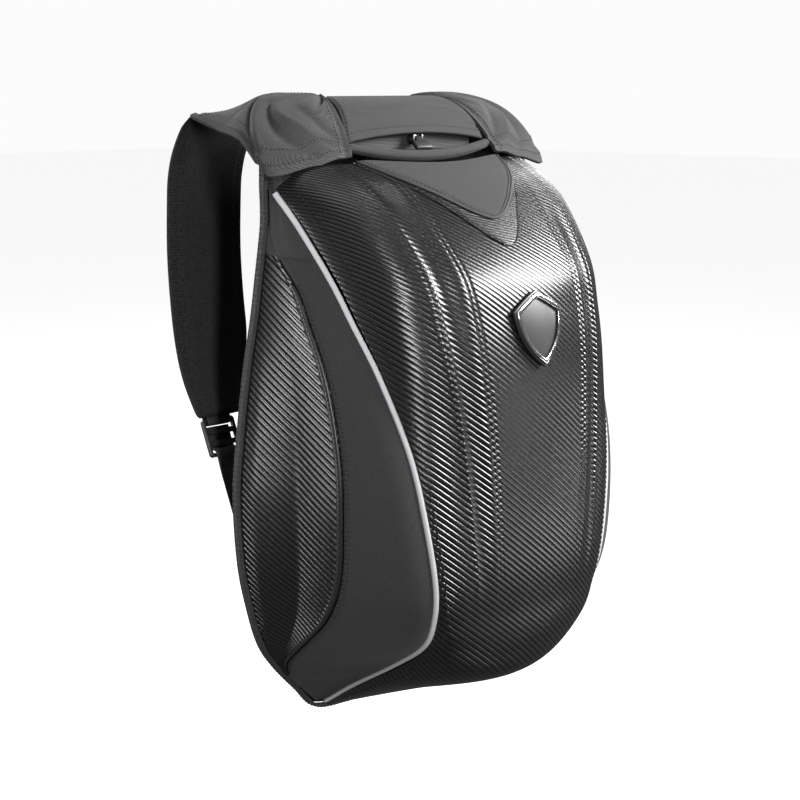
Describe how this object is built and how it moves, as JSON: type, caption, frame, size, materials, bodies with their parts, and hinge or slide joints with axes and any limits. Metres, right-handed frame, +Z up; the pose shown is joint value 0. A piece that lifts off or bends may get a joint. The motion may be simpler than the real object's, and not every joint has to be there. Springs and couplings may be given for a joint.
{
  "type": "hard shell backpack",
  "caption": "Backpack with a moulded twill-textured shell and side insets, a padded back panel, a woven yoke with a zipped slit and padded shoulder straps, for carrying a load on the back",
  "frame": {"origin": "middle of the back panel's wearer side, half way up the bag", "axes": "+Z up, -Y out through the front of the shell, +X to the right of someone who looks at the shell"},
  "size_m": [0.339, 0.2583, 0.5091],
  "materials": {
    "moulded": "moulded laminate with an embossed twill, satin",
    "nylon": "tight woven nylon, matt",
    "padding": "soft brushed lining over foam, matt",
    "tape": "ribbed woven tape, matt",
    "reflective": "pale retroreflective piping",
    "plastic": "moulded acetal, fine grain",
    "gunmetal": "dark lacquered zinc",
    "bright": "bright plated"
  },
  "bodies": {
    "bag": {"shell": "moulded", "side_panel_right": "nylon", "side_inset_right": "moulded", "piping_right": "reflective", "side_panel_left": "nylon", "side_inset_left": "moulded", "piping_left": "reflective", "back_panel": "padding", "back_binding": "tape", "bib": "nylon", "yoke_panel": "nylon", "slit_lip": "nylon", "yoke_wing_right": "nylon", "shoulder_strap_right": "padding", "ladder_lock_right": "plastic", "webbing_right": "tape", "yoke_wing_left": "nylon", "shoulder_strap_left": "padding", "ladder_lock_left": "plastic", "webbing_left": "tape", "zip_track": "tape", "zip_slider": "gunmetal", "badge_plate": "plastic", "badge_rim": "bright"},
    "zip_pull": {"zip_pull": "plastic"}
  },
  "joints": [
    {"name": "zip_pull_swing", "type": "hinge", "parent": "bag", "child": "zip_pull", "pos_m": [0, -0.0488, 0.2166], "axis": [-1, 0, 0], "range_deg": [0, 70]}
  ]
}
